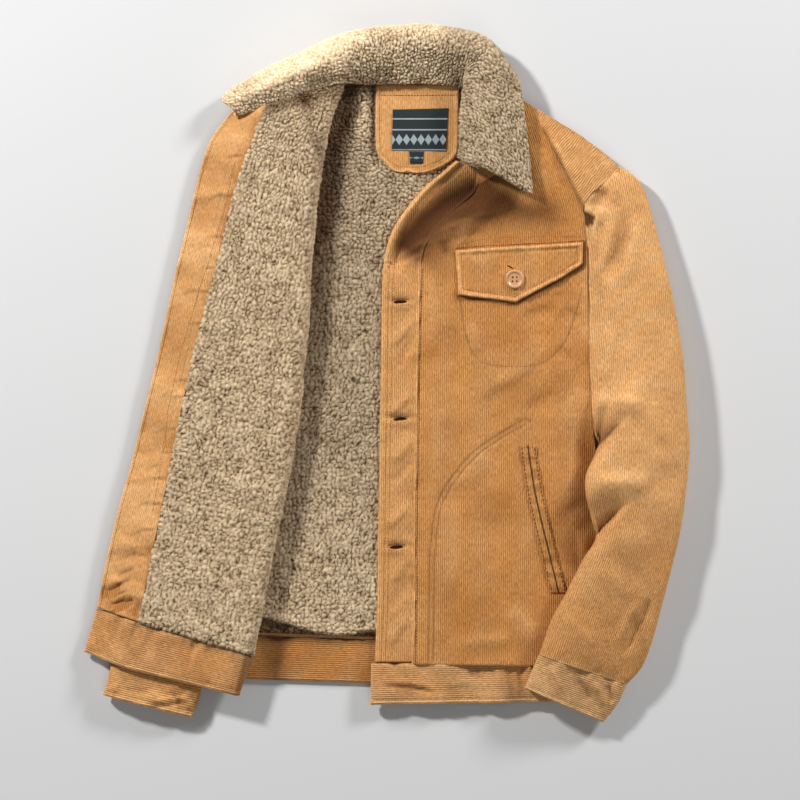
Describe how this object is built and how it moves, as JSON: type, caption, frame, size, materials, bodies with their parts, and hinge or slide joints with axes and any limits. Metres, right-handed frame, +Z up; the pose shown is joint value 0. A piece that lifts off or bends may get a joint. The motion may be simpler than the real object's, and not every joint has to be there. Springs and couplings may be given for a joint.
{
  "type": "jacket",
  "caption": "Corduroy trucker jacket with a fleece lining and collar, laid flat on its back with one front folded open.",
  "frame": {"origin": "middle of the footprint, on the surface it lies on", "axes": "+Y from the hem to the neck, +X to the wearer's left side, +Z up from the surface"},
  "size_m": [0.664, 0.7638, 0.0535],
  "materials": {
    "corduroy": "ribbed pile",
    "fleece": "curly pile",
    "button": "satin",
    "label": "woven",
    "size_tab": "woven"
  },
  "bodies": {
    "root": {"back_shell": "corduroy", "back_hem_band": "corduroy", "neck_facing": "corduroy", "front_left": "corduroy", "front_strip": "corduroy", "hem_band_left": "corduroy", "chest_flap": "corduroy", "pocket_edge_front": "corduroy", "pocket_edge_side": "corduroy", "sleeve_left": "corduroy", "cuff_left": "corduroy", "sleeve_right": "corduroy", "cuff_right": "corduroy", "front_right": "corduroy", "facing_right": "corduroy", "hem_band_right": "corduroy", "back_lining": "fleece", "front_right_lining": "fleece", "collar": "fleece", "flap_button": "button", "front_button_1": "button", "front_button_2": "button", "front_button_3": "button", "neck_label": "label", "size_tab": "size_tab"}
  },
  "joints": []
}
